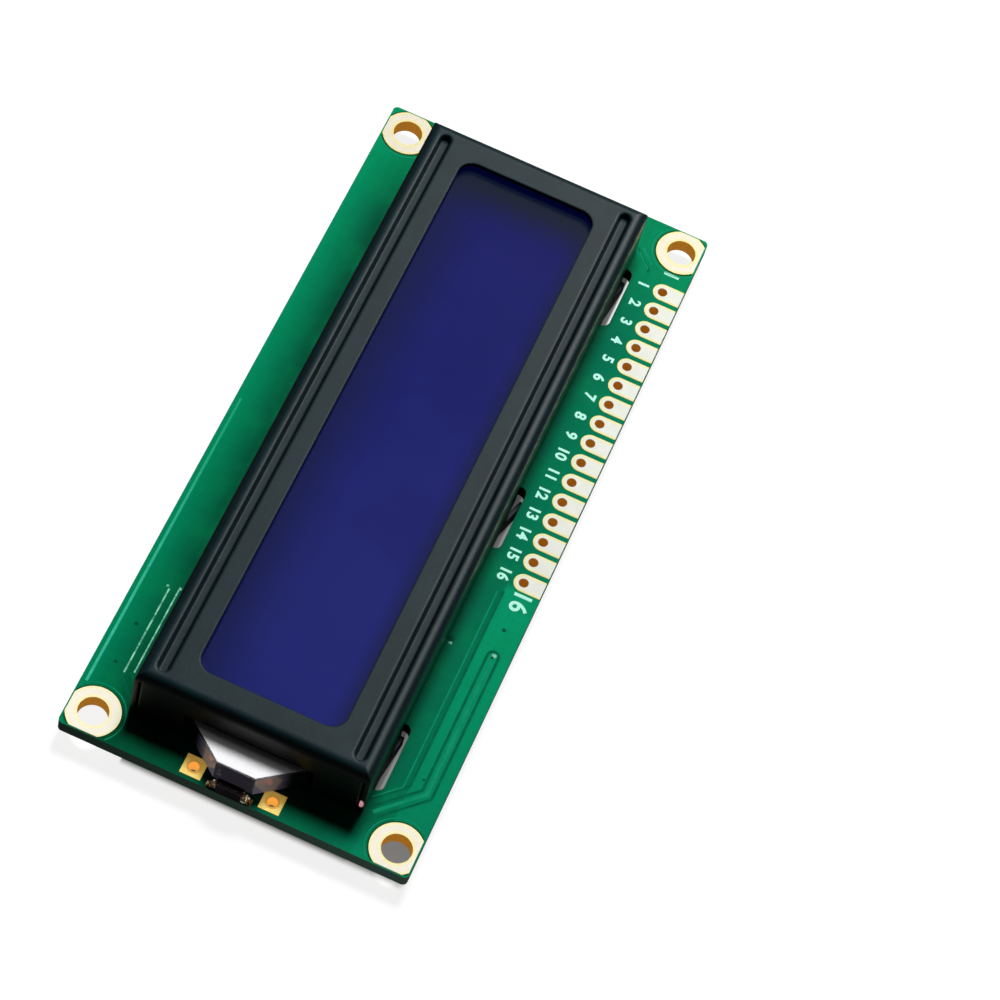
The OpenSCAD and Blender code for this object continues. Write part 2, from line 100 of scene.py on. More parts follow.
class Shader:
    """A material with a Principled shader, and short calls for the nodes that feed it."""

    def __init__(self, name, **values):
        self.material = bpy.data.materials.new(name)
        self.material.use_nodes = True
        self.tree = self.material.node_tree
        self.bsdf = self.tree.nodes["Principled BSDF"]
        for socket, value in values.items():
            self.bsdf.inputs[socket.replace("_", " ")].default_value = value
        coords = self.node("ShaderNodeTexCoord")
        scale = self.node("ShaderNodeMapping")
        scale.inputs["Scale"].default_value = (1 / MM, 1 / MM, 1 / MM)
        self.link(coords.outputs["Object"], scale.inputs["Vector"])
        self.mm = scale.outputs["Vector"]
        self.generated = coords.outputs["Generated"]
        self.heights = []

    def node(self, kind):
        return self.tree.nodes.new(kind)

    def link(self, source, target):
        self.tree.links.new(source, target)

    def feed(self, target, value):
        if isinstance(value, bpy.types.NodeSocket):
            self.link(value, target)
        else:
            target.default_value = value

    def noise(self, scale, detail=3.0, rough=0.5, vector=None, stretch=None):
        """Noise, 0 to 1, whose features are about 1/scale mm across."""
        n = self.node("ShaderNodeTexNoise")
        n.inputs["Scale"].default_value = scale
        n.inputs["Detail"].default_value = detail
        n.inputs["Roughness"].default_value = rough
        vector = vector or self.mm
        if stretch:
            m = self.node("ShaderNodeMapping")
            m.inputs["Scale"].default_value = stretch
            self.link(vector, m.inputs["Vector"])
            vector = m.outputs["Vector"]
        self.link(vector, n.inputs["Vector"])
        return n.outputs["Fac"]

    def math(self, operation, a, b=0.0, clamp=False):
        n = self.node("ShaderNodeMath")
        n.operation = operation
        n.use_clamp = clamp
        self.feed(n.inputs[0], a)
        self.feed(n.inputs[1], b)
        return n.outputs[0]

    def span(self, value, a, b, low=0.0, high=1.0):
        """Maps a..b to low..high, smoothly and clamped."""
        n = self.node("ShaderNodeMapRange")
        n.interpolation_type = "SMOOTHSTEP"
        for i, v in enumerate((value, a, b, low, high)):
            self.feed(n.inputs[i], v)
        return n.outputs[0]

    def mix(self, factor, a, b, blend="MIX"):
        n = self.node("ShaderNodeMix")
        n.data_type = "RGBA"
        n.blend_type = blend
        self.feed(n.inputs[0], factor)
        self.feed(n.inputs[6], a if isinstance(a, bpy.types.NodeSocket) else (*a, 1))
        self.feed(n.inputs[7], b if isinstance(b, bpy.types.NodeSocket) else (*b, 1))
        return n.outputs[2]

    def axes(self, vector=None):
        n = self.node("ShaderNodeSeparateXYZ")
        self.link(vector or self.mm, n.inputs[0])
        return n.outputs[0], n.outputs[1], n.outputs[2]

    def facing(self):
        """The surface's own normal, by axis."""
        return self.axes(self.node("ShaderNodeNewGeometry").outputs["Normal"])

    def hole_wall(self):
        """1 on upright surfaces, such as a hole's wall, and 0 on the flat faces."""
        _, _, up = self.facing()
        return self.span(self.math("ABSOLUTE", up), 0.3, 0.7, 1.0, 0.0)

    def color(self, value):
        self.feed(self.bsdf.inputs["Base Color"], value)

    def rough(self, value):
        self.feed(self.bsdf.inputs["Roughness"], value)

    def ramp(self, value, a, b, low=0.0, high=1.0):
        """Maps a..b to low..high in a straight line, clamped."""
        n = self.node("ShaderNodeMapRange")
        for i, v in enumerate((value, a, b, low, high)):
            self.feed(n.inputs[i], v)
        return n.outputs[0]

    def apart(self, a, b):
        """The length of the flat vector (a, b)."""
        square = self.math("ADD", self.math("MULTIPLY", a, a), self.math("MULTIPLY", b, b))
        return self.math("SQRT", square)

    def off(self, value, centre):
        """Distance of a coordinate from a centre, in mm."""
        return self.math("ABSOLUTE", self.math("SUBTRACT", value, centre))

    def soften(self, radius_mm):
        """Shades sharp edges as if they had this radius."""
        n = self.node("ShaderNodeBevel")
        n.samples = 6
        n.inputs["Radius"].default_value = radius_mm * MM
        self.heights.append(n.outputs["Normal"])

    def bump(self, height, distance_mm, strength=1.0):
        """Adds one layer of bump; layers stack in the order they're added."""
        n = self.node("ShaderNodeBump")
        n.inputs["Strength"].default_value = strength
        n.inputs["Distance"].default_value = distance_mm * MM
        self.feed(n.inputs["Height"], height)
        if self.heights:
            self.link(self.heights[-1], n.inputs["Normal"])
        self.heights.append(n.outputs["Normal"])
        self.feed(self.bsdf.inputs["Normal"], n.outputs["Normal"])


def srgb(r, g, b):
    """A colour given as 0 to 255 display values, as scene-linear values."""
    def linear(c):
        c /= 255
        return c / 12.92 if c <= 0.04045 else ((c + 0.055) / 1.055) ** 2.4
    return (linear(r), linear(g), linear(b))


# ---------------------------------------------------------------- materials

def board_material():
    """Green solder mask on both faces, bare woven laminate on the cut edges. Painted shade darkens
    the mask near the bezel and in front of its end wall; painted light lifts it towards the far
    end and makes the edge at the LED end glow.
    """
    s = Shader("solder_mask", Specular_IOR_Level=0.04)
    x, y, _ = s.axes()
    _, _, up = s.facing()
    edge = s.span(s.math("ABSOLUTE", up), 0.5, 0.6, 1.0, 0.0)
    # Distance out from the bezel. It places the copper pour, and the painted shade that darkens
    # the mask next to the bezel and in front of its end wall.
    out = s.math("MAXIMUM", s.math("SUBTRACT", s.off(y, BEZEL_MID_Y), BEZEL_HALF_W),
                 s.math("MULTIPLY", s.math("SUBTRACT", x, BEZEL_END_X), 0.35))
    low_side_shade = s.mix(s.ramp(out, 1.4, 5.1), srgb(0, 74, 50), srgb(0, 129, 88))
    poured = s.math("MULTIPLY", s.span(out, 2.8, 3.15), s.span(s.off(x, -14.0), 20.5, 21.5))
    header_side_shade_and_pour = s.mix(s.ramp(out, 0.0, 6.0), srgb(0, 91, 65), srgb(0, 120, 84))
    bright = s.mix(s.ramp(x, 14.0, 34.0), srgb(2, 141, 98), srgb(2, 128, 90))
    header_side_shade_and_pour = s.mix(poured, header_side_shade_and_pour, bright)
    # Painted light: the mask is lighter where it stands clear beyond the bezel's end on the header
    # side.
    clear_of_bezel = s.math("MULTIPLY", s.ramp(y, 8.5, 12.0), s.ramp(x, 36.0, 39.0))
    header_side_shade_and_pour = s.mix(clear_of_bezel, header_side_shade_and_pour, srgb(2, 128, 90))
    green = s.mix(s.span(y, -1.0, 1.0), low_side_shade, header_side_shade_and_pour)
    # Painted light: the mask is lighter towards the far end.
    painted_far_end_light = s.span(x, -38.0, -26.0, 0.55, 0.0)
    green = s.mix(painted_far_end_light, green, srgb(0, 146, 94))
    cloudy = s.span(s.noise(0.25, 4, 0.6), 0.35, 0.9, 0.0, 0.5)
    green = s.mix(cloudy, green, srgb(2, 128, 76))
    weave = s.math("MULTIPLY", s.noise(2.2, 1, 0.4, stretch=(1, 0.12, 1)),
                   s.noise(2.2, 1, 0.4, stretch=(0.12, 1, 1)))
    green = s.mix(s.span(weave, 0.2, 0.34, 0.0, 0.12), green, srgb(0, 88, 60))
    fibre = s.noise(6.0, 4, 0.65, stretch=(0.15, 0.15, 3.0))
    laminate = s.mix(s.span(fibre, 0.35, 0.65), srgb(22, 40, 30), srgb(58, 84, 62))
    laminate = s.mix(s.span(s.noise(1.6, 3), 0.55, 0.7), laminate, srgb(74, 40, 28))
    s.color(s.mix(edge, green, laminate))
    # Painted light: the laminate edge at the LED end glows faintly.
    led_edge = s.math("MULTIPLY", s.ramp(y, BOARD_LO.y / MM, BOARD_HI.y / MM, 0.3, 1.0),
                      s.span(x, BOARD_HI.x / MM - 0.6, BOARD_HI.x / MM - 0.3))
    glow(s, s.math("MULTIPLY", edge, led_edge), (0.55, 1.0, 0.8), BOARD_EDGE_GLOW)
    s.rough(s.mix(edge, (0.17,) * 3, (0.62,) * 3))
    s.bump(s.noise(0.8, 3, 0.5), 0.02, 0.5)
    s.bump(weave, 0.012, 0.4)
    return s.material


def masked_copper_material():
    """Solder mask over a copper track: a little lighter than mask over bare laminate."""
    s = Shader("masked_copper", Specular_IOR_Level=0.08)
    shade = s.span(s.noise(0.6, 4, 0.6), 0.3, 0.7)
    s.color(s.mix(shade, srgb(2, 130, 92), srgb(16, 143, 105)))
    s.rough(s.span(s.noise(5, 3), 0.3, 0.7, 0.14, 0.24))
    s.bump(s.noise(3.0, 3), 0.01, 0.5)
    return s.material


def mask_gap_material():
    """The narrow dip in the mask where the copper is etched away beside a track."""
    s = Shader("mask_gap", Specular_IOR_Level=0.05)
    shade = s.span(s.noise(0.8, 4, 0.6), 0.3, 0.7)
    s.color(s.mix(shade, srgb(0, 86, 60), srgb(0, 102, 70)))
    s.rough(s.span(s.noise(5, 3), 0.3, 0.7, 0.2, 0.3))
    s.bump(s.noise(3.0, 3), 0.01, 0.5)
    return s.material


def track_edge_glint_material():
    """Painted highlights on raised runs: near-white glints along track edges, and a pale line
    along the board's edge that brightens towards +X.
    """
    s = Shader("track_edge_glint", Specular_IOR_Level=0.4)
    x, y, _ = s.axes()
    painted_glint_spots = s.span(s.noise(1.1, 4, 0.7, stretch=(1, 0.2, 1)), 0.3, 0.6)
    on_edge = s.span(s.off(y, BEZEL_MID_Y), 15.4, 16.2)
    # Painted glints: near-white where the noise runs high; the pale line along the board's edge
    # brightens towards +X.
    glint = s.mix(painted_glint_spots, srgb(24, 130, 98), srgb(150, 222, 196))
    lip = s.mix(s.ramp(x, 2.0, 30.0), srgb(0, 146, 104), srgb(58, 192, 158))
    s.color(s.mix(on_edge, glint, s.mix(s.math("MULTIPLY", painted_glint_spots, 0.4), lip, srgb(4, 150, 108))))
    s.rough(s.span(s.noise(5, 3), 0.3, 0.7, 0.2, 0.3))
    s.bump(s.noise(4.0, 3), 0.01, 0.5)
    return s.material


def plate_finish(s, rim, face_low, face_high, rim_color, wall_color):
    """Gold flash: pale on the face, yellower at its rim, deep orange inside a hole. The face's
    near-white tone is partly a painted reflection. Hole walls glow as painted light, and faces
    glow more towards the LED end, a painted pool of light.
    """
    tone = s.span(s.noise(0.9, 3, 0.5), 0.3, 0.7)
    face = s.mix(rim, s.mix(tone, face_low, face_high), rim_color)
    wall = s.hole_wall()
    mottled = s.mix(s.span(s.noise(2.5, 4, 0.6), 0.35, 0.65), wall_color,
                    tuple(c * 0.6 for c in wall_color))
    s.color(s.mix(wall, face, mottled))
    x, y, _ = s.axes()
    # Painted light: a glow on hole walls, and on faces towards the LED end.
    led_end_pool_of_light = s.math("MULTIPLY", s.ramp(x, 8.0, 38.0), s.ramp(y, 20.0, -16.0, 0.4, 0.78))
    glow(s, s.math("MAXIMUM", wall, led_end_pool_of_light), s.mix(wall, (1.0, 0.97, 0.84), wall_color),
         GOLD_GLOW)
    grain = s.span(s.noise(8, 4, 0.6), 0.3, 0.7, 0.3, 0.42)
    s.rough(s.mix(wall, grain, (0.55,) * 3))
    s.bump(s.noise(10, 4, 0.6), 0.002, 0.4)


def glow(s, where, color, strength):
    """Light of the surface's own, for bounces between walls and glints that the photo shows."""
    flat = isinstance(color, tuple)
    s.feed(s.bsdf.inputs["Emission Color"], (*color, 1) if flat else color)
    s.feed(s.bsdf.inputs["Emission Strength"], s.math("MULTIPLY", where, strength))


def ring_gold_material():
    s = Shader("ring_gold", Metallic=0.5, Specular_IOR_Level=0.5)
    x, y, _ = s.axes()
    from_hole = s.apart(s.off(s.math("ABSOLUTE", x), HOLE_X / MM),
                        s.off(s.math("ABSOLUTE", y), HOLE_Y / MM))
    rim = s.math("MAXIMUM", s.span(from_hole, RING_R / MM - 0.4, RING_R / MM),
                 s.span(from_hole, 1.9, 1.6))
    plate_finish(s, s.math("MULTIPLY", rim, 0.8), srgb(232, 224, 202), srgb(235, 229, 212),
                 srgb(244, 230, 140), srgb(208, 142, 44))
    return s.material


def pad_gold_material():
    s = Shader("pad_gold", Metallic=0.5, Specular_IOR_Level=0.5)
    x, y, _ = s.axes()
    across = s.math("PINGPONG", s.math("SUBTRACT", x, PAD_XS[0] / MM - 10 * PAD_PITCH / MM),
                    PAD_PITCH / MM / 2)
    below = s.math("MINIMUM", s.math("SUBTRACT", y, PAD_HOLE_Y / MM), 0.0)
    rim = s.span(s.apart(across, below), PAD_R / MM - 0.42, PAD_R / MM)
    plate_finish(s, s.math("MULTIPLY", rim, 0.85), srgb(221, 223, 211), srgb(226, 228, 220),
                 srgb(232, 226, 140), srgb(178, 112, 24))
    return s.material


def wire_pad_material():
    """Gold flash over copper, deep in colour, with an orange mouth to the hole. It is painted
    lighter towards the LED end, and it glows as painted light, most on its hole's wall.
    """
    s = Shader("wire_pad_gold", Metallic=0.45, Specular_IOR_Level=0.5)
    x, y, _ = s.axes()
    lo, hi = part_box("wire_pad_1")
    cx, cy = (lo.x + hi.x) / 2 / MM, (lo.y + hi.y) / 2 / MM
    half = (hi.y - lo.y) / 2 / MM
    row = s.off(s.off(y, BEZEL_MID_Y), abs(cy - BEZEL_MID_Y))
    from_hole = s.apart(s.off(x, cx), row)
    lit_towards_led_end = s.span(x, cx - half, cx + half * 0.6)
    tone = s.mix(lit_towards_led_end, srgb(238, 170, 60), srgb(255, 232, 140))
    tone = s.mix(s.span(s.noise(1.6, 4, 0.6), 0.35, 0.65, 0.0, 0.5), tone, srgb(255, 240, 160))
    mouth = s.span(from_hole, 0.8, 0.62)
    wall = s.hole_wall()
    tone = s.mix(mouth, tone, srgb(222, 138, 44))
    s.color(s.mix(wall, tone, srgb(214, 124, 40)))
    # Painted light: the pad glows, more towards the LED end and fully on the hole's wall.
    glow(s, s.mix(wall, s.span(x, cx - half, cx + half, 0.5, 0.8), (1.0,) * 3),
         srgb(240, 190, 84), WIRE_PAD_GLOW)
    s.rough(s.mix(wall, s.span(s.noise(6, 4, 0.6), 0.3, 0.7, 0.25, 0.4), (0.6,) * 3))
    s.bump(s.noise(5, 4, 0.6), 0.008, 0.4)
    return s.material


def bezel_material():
    """Black stoved paint on steel: satin on the flats, dull round the sides. Faces towards +X and
    -Y are painted darker as painted shade, and one corner's foot carries a painted glint.
    """
    s = Shader("black_steel", Specular_IOR_Level=0.5)
    tone = s.span(s.noise(0.35, 4, 0.6), 0.3, 0.7)
    black = s.mix(tone, srgb(8, 27, 31), srgb(13, 33, 37))
    dust = s.span(s.noise(9.0, 5, 0.7), 0.64, 0.78, 0.0, 0.4)
    black = s.mix(dust, black, srgb(40, 54, 56))
    side_x, side_y, _ = s.facing()
    shaded_end_wall = s.span(side_x, 0.35, 0.7)
    shaded_low_wall = s.span(side_y, -0.5, -0.8)
    # Painted shade: faces towards the LED end and the low side are darker.
    black = s.mix(s.math("MAXIMUM", shaded_end_wall, shaded_low_wall), black, srgb(4, 8, 9))
    painted_glint_spots = painted_corner_glint(s)
    # Painted glint: pink-white and glowing at the foot of one corner.
    s.color(s.mix(painted_glint_spots, black, srgb(235, 190, 196)))
    glow(s, painted_glint_spots, srgb(255, 178, 186), CORNER_GLINT_GLOW)
    satin = s.span(s.noise(3.0, 4, 0.6), 0.3, 0.7, 0.27, 0.35)
    satin = s.mix(shaded_end_wall, satin, (0.5,) * 3)
    s.rough(s.mix(shaded_low_wall, satin, (0.8,) * 3))
    s.soften(0.27)
    s.bump(s.noise(7.0, 3, 0.6), 0.008, 0.3)
    s.bump(s.noise(0.5, 2), 0.03, 0.2)
    return s.material


def painted_corner_glint(s):
    """Where the painted glint sits: the foot of the bezel's corner by the last pin."""
    x, y, z = s.axes()
    corner_y = BEZEL_MID_Y + BEZEL_HALF_W
    near = s.apart(s.off(y, corner_y - 0.35), s.math("MULTIPLY", s.off(z, 1.7), 0.42))
    painted_glint_spots = s.math("MULTIPLY", s.span(near, 0.34, 0.16), s.span(x, BEZEL_END_X - 0.6,
                                                              BEZEL_END_X - 0.2))
    return s.math("MULTIPLY", painted_glint_spots, s.span(s.noise(2.0, 3), 0.3, 0.5))


def display_material():
    """The front polariser over the blue cell, duller at its edges and away from the LED. The
    near-black far end is a painted shadow, and a faint blue glow over it is painted light.
    """
    s = Shader("display_film", Specular_IOR_Level=0.12)
    x, y, _ = s.axes()
    lo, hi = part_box("front_polariser")
    far = s.span(x, lo.x / MM + 2.0, lo.x / MM + 7.4)
    low = s.span(y, lo.y / MM + 0.3, lo.y / MM + 7.0, 0.15, 1.0)
    header = s.span(y, hi.y / MM - 1.1, hi.y / MM - 3.1, 0.3, 1.0)
    cloud = s.span(s.noise(0.12, 3, 0.5), 0.3, 0.7)
    led_end = s.ramp(x, -28.0, 24.0)
    blue = s.mix(led_end, s.mix(cloud, srgb(13, 16, 77), srgb(17, 19, 83)),
                 s.mix(cloud, srgb(21, 27, 96), srgb(24, 30, 102)))
    blue = s.mix(s.math("MULTIPLY", low, header), srgb(12, 18, 46), blue)
    # Painted shadow: near black at the far end.
    s.color(s.mix(far, srgb(12, 19, 18), blue))
    # Painted light: a faint blue glow over the whole film.
    s.bsdf.inputs["Emission Color"].default_value = (0.01, 0.05, 1.0, 1)
    s.bsdf.inputs["Emission Strength"].default_value = DISPLAY_GLOW
    s.rough(s.span(s.noise(6, 4, 0.6), 0.3, 0.7, 0.16, 0.24))
    s.bump(s.noise(14, 4, 0.7), 0.003, 0.4)
    return s.material


def glass_material(name, tint):
    s = Shader(name, Roughness=0.06, IOR=1.52, Specular_IOR_Level=0.5)
    s.color(s.mix(s.noise(0.3, 2), tint, tuple(c * 1.2 for c in tint)))
    s.bump(s.noise(1.0, 2), 0.002, 0.3)
    return s.material


def silicone_material():
    s = Shader("silicone", Specular_IOR_Level=0.3)
    band = s.math("PINGPONG", s.axes()[0], 0.1)
    s.color(s.mix(s.span(band, 0.02, 0.08), srgb(22, 22, 22), srgb(86, 86, 82)))
    s.rough(s.span(s.noise(4, 3), 0.3, 0.7, 0.6, 0.75))
    s.bump(s.noise(10, 3), 0.01, 0.5)
    return s.material


def white_film_material():
    s = Shader("white_film", Specular_IOR_Level=0.45)
    s.color(s.mix(s.span(s.noise(1.4, 4, 0.6), 0.3, 0.7), (0.88, 0.88, 0.90), (0.93, 0.93, 0.94)))
    # Painted light: the film glows, more with distance beyond the bezel's end.
    glow(s, s.ramp(s.axes()[0], BEZEL_END_X + 0.3, BEZEL_END_X + 1.8), (1, 1, 1.02), FILM_GLOW)
    s.rough(s.span(s.noise(6, 3), 0.3, 0.7, 0.16, 0.26))
    s.bump(s.noise(2.0, 3), 0.01, 0.4)
    return s.material


def acrylic_material():
    """The light guide seen edge on: a dark, clear body. Its flanks beyond the bezel are painted
    lighter, brownish near the board as a painted reflection, and the flanks and tip glow as
    painted light.
    """
    s = Shader("clear_acrylic", IOR=1.49, Transmission_Weight=0.25, Specular_IOR_Level=0.5)
    x, _, z = s.axes()
    side_x, side_y, _ = s.facing()
    flank = s.math("MULTIPLY", s.span(s.math("ABSOLUTE", side_y), 0.3, 0.6),
                   s.span(x, BEZEL_END_X + 0.6, BEZEL_END_X + 2.4))
    # Painted reflection: brownish tint near the board.
    low = s.span(z, 0.9, 0.2)
    lit = s.mix(low, (0.11, 0.10, 0.125), (0.15, 0.09, 0.07))
    cloud = s.span(s.noise(0.9, 3), 0.3, 0.7)
    body = s.mix(cloud, (0.008, 0.007, 0.016), (0.016, 0.015, 0.03))
    s.color(s.mix(flank, body, lit))
    tip = s.span(x, BEZEL_END_X + 1.6, BEZEL_END_X + 2.6, 0.0, 0.26)
    # Painted light: the flanks and tip glow.
    glow(s, s.math("MAXIMUM", flank, tip), (0.95, 0.86, 1.15), GUIDE_GLOW)
    s.rough(s.span(s.noise(1.5, 3, 0.5), 0.3, 0.7, 0.1, 0.16))
    s.soften(0.12)
    s.bump(s.noise(0.6, 2, 0.5), 0.01, 0.2)
    return s.material


def resin_material():
    s = Shader("dark_resin", Specular_IOR_Level=0.25)
    tone = s.span(s.noise(2.5, 4, 0.6), 0.5, 0.8)
    s.color(s.mix(tone, srgb(12, 2, 9), srgb(58, 20, 26)))
    s.rough(s.span(s.noise(8, 3), 0.3, 0.7, 0.08, 0.16))
    s.soften(0.12)
    s.bump(s.noise(3.0, 4, 0.6), 0.04, 0.6)
    return s.material


def phosphor_material():
    s = Shader("phosphor", Specular_IOR_Level=0.5)
    s.color(s.mix(s.noise(5, 4), srgb(214, 186, 60), srgb(238, 220, 110)))
    s.rough(s.span(s.noise(8, 3), 0.3, 0.7, 0.2, 0.35))
    s.bump(s.noise(12, 3), 0.01, 0.4)
    return s.material


def tin_material():
    """Solder and tinned leads, browned by flux, with bright rounded edges and glowing spots that
    are painted glints.
    """
    s = Shader("tinned_metal", Metallic=1.0)
    tone = s.span(s.noise(2.2, 4, 0.6), 0.35, 0.65)
    s.color(s.mix(tone, srgb(140, 106, 62), srgb(246, 226, 190)))
    # Painted glints: spots that glow.
    glow(s, s.span(s.noise(1.6, 3, 0.6), 0.5, 0.66), (1.0, 0.9, 0.72), SOLDER_GLOW)
    s.rough(s.span(s.noise(7, 4, 0.6), 0.3, 0.7, 0.08, 0.2))
    s.soften(0.15)
    s.bump(s.noise(3.0, 3, 0.6), 0.05, 0.7)
    return s.material


def epoxy_material():
    s = Shader("black_epoxy", Specular_IOR_Level=0.5)
    s.color(s.mix(s.span(s.noise(1.2, 4, 0.6), 0.3, 0.7), srgb(16, 17, 19), srgb(30, 31, 34)))
    s.rough(s.span(s.noise(2.5, 4, 0.6), 0.3, 0.7, 0.16, 0.32))
    s.bump(s.noise(1.2, 4, 0.55), 0.05, 0.5)
    return s.material


def chip_material(name, body, axis):
    """A ceramic body with tinned caps over its two ends, along the given axis."""
    cap_share = 0.175
    s = Shader(name, Specular_IOR_Level=0.45)
    along = s.axes(s.generated)[axis]
    cap = s.span(s.math("ABSOLUTE", s.math("SUBTRACT", along, 0.5)), 0.49 - cap_share,
                 0.5 - cap_share)
    ceramic = s.mix(s.span(s.noise(6, 4, 0.6), 0.3, 0.7), body, tuple(c * 1.35 for c in body))
    s.color(s.mix(cap, ceramic, srgb(206, 204, 196)))
    s.feed(s.bsdf.inputs["Metallic"], cap)
    s.rough(s.span(s.noise(8, 4, 0.6), 0.3, 0.7, 0.28, 0.45))
    s.bump(s.noise(12, 4, 0.6), 0.008, 0.5)
    return s.material


def ink_material():
    """Silkscreen ink: chalky, with slightly ragged cover."""
    s = Shader("silkscreen_ink", Specular_IOR_Level=0.3)
    cover = s.span(s.noise(9.0, 4, 0.7), 0.3, 0.55)
    s.color(s.mix(cover, srgb(126, 222, 194), srgb(186, 246, 228)))
    s.rough(s.span(s.noise(8, 3), 0.3, 0.7, 0.5, 0.65))
    s.bump(s.noise(14, 3), 0.006, 0.5)
    return s.material


def ring_gap_material():
    """The dark line where the mask stands back from a pad."""
    s = Shader("ring_gap", Specular_IOR_Level=0.1)
    s.color(s.mix(s.noise(1.5, 4), srgb(4, 50, 26), srgb(10, 84, 44)))
    s.rough(s.span(s.noise(6, 3), 0.3, 0.7, 0.4, 0.6))
    s.bump(s.noise(8, 3), 0.008, 0.5)
    return s.material


def via_material(name, low, high, gloss):
    """A small plated hole, bare or covered by mask."""
    s = Shader(name, Specular_IOR_Level=gloss)
    s.color(s.mix(s.span(s.noise(4, 3), 0.3, 0.7), low, high))
    s.rough(s.span(s.noise(6, 3), 0.3, 0.7, 0.15, 0.3))
    s.bump(s.noise(8, 3), 0.01, 0.5)
    return s.material


MASK = board_material()
COPPER = masked_copper_material()
MASK_GAP = mask_gap_material()
TRACK_EDGE_GLINT = track_edge_glint_material()
RING_GOLD = ring_gold_material()
PAD_GOLD = pad_gold_material()
WIRE_GOLD = wire_pad_material()
STEEL = bezel_material()
DISPLAY = display_material()
UPPER_GLASS = glass_material("cell_glass_upper", srgb(30, 32, 84))
LOWER_GLASS = glass_material("cell_glass_lower", srgb(26, 28, 70))
SILICONE = silicone_material()
WHITE_FILM = white_film_material()
ACRYLIC = acrylic_material()
RESIN = resin_material()
PHOSPHOR = phosphor_material()
TIN = tin_material()
EPOXY = epoxy_material()
RESISTOR = chip_material("resistor_ceramic", srgb(36, 36, 40), 0)
CAPACITOR = chip_material("capacitor_ceramic", srgb(170, 136, 92), 1)
INK = ink_material()
RING_GAP = ring_gap_material()
VIA_DARK = via_material("via_dark", srgb(0, 58, 38), srgb(0, 80, 54), 0.04)
# Pale via rims; their pale tone is partly a painted glint.
VIA_RIM_AND_GLINT = via_material("via_rim_and_glint", srgb(70, 160, 130), srgb(150, 214, 188), 0.3)

FINISH = {
    "circuit_board": MASK, "mount_ring": RING_GOLD, "pin_pad": PAD_GOLD, "wire_pad": WIRE_GOLD,
    "bezel": STEEL, "front_polariser": DISPLAY, "upper_glass": UPPER_GLASS,
    "lower_glass": LOWER_GLASS, "rear_polariser": DISPLAY, "contact_strip": SILICONE,
    "diffuser_sheet": WHITE_FILM, "light_guide": ACRYLIC, "reflector_sheet": WHITE_FILM,
    "guide_film": WHITE_FILM, "led_body": RESIN, "led_phosphor": PHOSPHOR,
    "led_terminal": TIN, "led_solder": TIN, "controller_cap": EPOXY, "driver_cap": EPOXY,
    "chip_resistor": RESISTOR, "chip_capacitor": CAPACITOR,
}

for node_name, node_object in NODES.items():
    finish = FINISH[node_name.rstrip("0123456789").rstrip("_")]
    if not node_object.material_slots:
        node_object.data.materials.append(finish)
    for slot in node_object.material_slots:
        slot.material = finish


# ---------------------------------------------------------------- mesh helpers

def piece(name, mesh, material):
    obj = bpy.data.objects.new(name, mesh)
    bpy.context.scene.collection.objects.link(obj)
    mesh.materials.append(material)
    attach(obj, "root")
    return obj


def mesh_from(bm, name):
    mesh = bpy.data.meshes.new(name)
    bmesh.ops.recalc_face_normals(bm, faces=bm.faces)
    bm.to_mesh(mesh)
    bm.free()
    return mesh


def side_normals(points):
    """For each point of a polyline, the sideways unit vector, lengthened at corners."""
    out = []
    for i, p in enumerate(points):
        before = (p - points[i - 1]).normalized() if i else None
        after = (points[i + 1] - p).normalized() if i + 1 < len(points) else None
        n1 = Vector((-before.y, before.x)) if before else Vector((-after.y, after.x))
        n2 = Vector((-after.y, after.x)) if after else n1
        n = (n1 + n2).normalized()
        out.append(n / max(0.4, n.dot(n1)))
    return out


def add_track(bm, points, width, base, height, facing):
    """A raised track with sloped edges. Points and sizes in metres, facing +1 up or -1 down."""
    points = [Vector(p) for p in points]
    sides = side_normals(points)
    slope = min(abs(height) * 1.5, width * 0.3)
    rails = ((-width / 2, 0.0), (-width / 2 + slope, height), (width / 2 - slope, height),
             (width / 2, 0.0))
    rows = []
    for p, n in zip(points, sides):
        rows.append([bm.verts.new((p.x + n.x * d, p.y + n.y * d, base + facing * h))
                     for d, h in rails])
    for a, b in zip(rows, rows[1:]):
        for i in range(3):
            bm.faces.new((a[i], a[i + 1], b[i + 1], b[i]))
    for row in (rows[0], rows[-1]):
        bm.faces.new(row)


def numeral(name, text, centre_x, centre_y, height, thicken, back=False):
    """Printed digits that lie on the board's front or back face, read with +Y up."""
    curve = bpy.data.curves.new(name, "FONT")
    curve.body = text
    curve.align_x = "CENTER"
    curve.align_y = "CENTER"
    curve.size = height / CAPITAL_SHARE
    curve.offset = thicken
    curve.extrude = INK_T / 2
    curve.resolution_u = 4
    scratch = bpy.data.objects.new(name + "_curve", curve)
    bpy.context.scene.collection.objects.link(scratch)
    bpy.context.view_layer.update()
    graph = bpy.context.evaluated_depsgraph_get()
    mesh = bpy.data.meshes.new_from_object(scratch.evaluated_get(graph))
    bpy.data.objects.remove(scratch)
    xs = [v.co.x for v in mesh.vertices]
    ys = [v.co.y for v in mesh.vertices]
    middle = Matrix.Translation((-(min(xs) + max(xs)) / 2, -(min(ys) + max(ys)) / 2, 0))
    turn = Matrix.Rotation(math.pi, 4, "Y") if back else Matrix.Identity(4)
    z = BACK_Z - INK_T / 2 if back else FRONT_Z + INK_T / 2
    mesh.transform(Matrix.Translation((centre_x, centre_y, z)) @ turn @ middle)
    mesh.materials.clear()
    return piece(name, mesh, INK)


# ---------------------------------------------------------------- print and tracks

INK_T = 0.02 * MM
TRACK_T = 0.035 * MM

